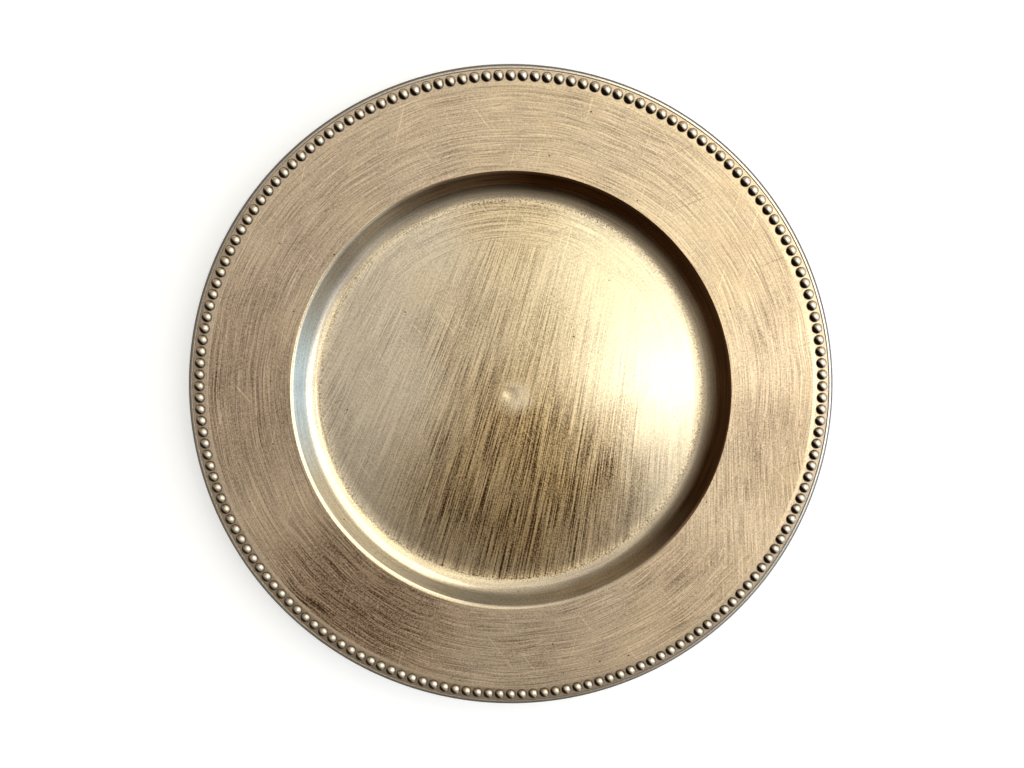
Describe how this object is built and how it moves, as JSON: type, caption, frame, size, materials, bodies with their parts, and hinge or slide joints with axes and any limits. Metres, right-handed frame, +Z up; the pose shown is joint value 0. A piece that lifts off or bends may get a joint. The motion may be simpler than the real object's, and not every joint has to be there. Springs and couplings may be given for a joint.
{
  "type": "charger plate",
  "caption": "Round charger plate with a wide gold-leafed rim, a ring of small beads near the edge, a shallow flat well and a low foot ring.",
  "frame": {"origin": "centre of the foot ring's tread, on the plane that the plate stands on", "axes": "+Z up along the plate's axis; X and Y lie in the table plane and are alike, because the plate is round"},
  "size_m": [0.33, 0.33, 0.0215],
  "materials": {
    "floor_leaf": "straight-brushed antique gold leaf under clear lacquer",
    "side_leaf": "smooth antique gold leaf under clear lacquer",
    "rim_leaf": "circular-brushed antique gold leaf under clear lacquer",
    "band_leaf": "smooth antique gold leaf under clear lacquer",
    "bead_leaf": "polished antique gold leaf under clear lacquer",
    "edge_leaf": "smooth antique gold leaf under clear lacquer",
    "bare_moulding": "bare dark brown moulded plastic"
  },
  "bodies": {
    "root": {"well_floor": "floor_leaf", "well_side": "side_leaf", "rim_flange": "rim_leaf", "bead_band": "band_leaf", "rim_beads": "bead_leaf", "edge_lip": "edge_leaf", "foot_ring": "bare_moulding"}
  },
  "joints": []
}
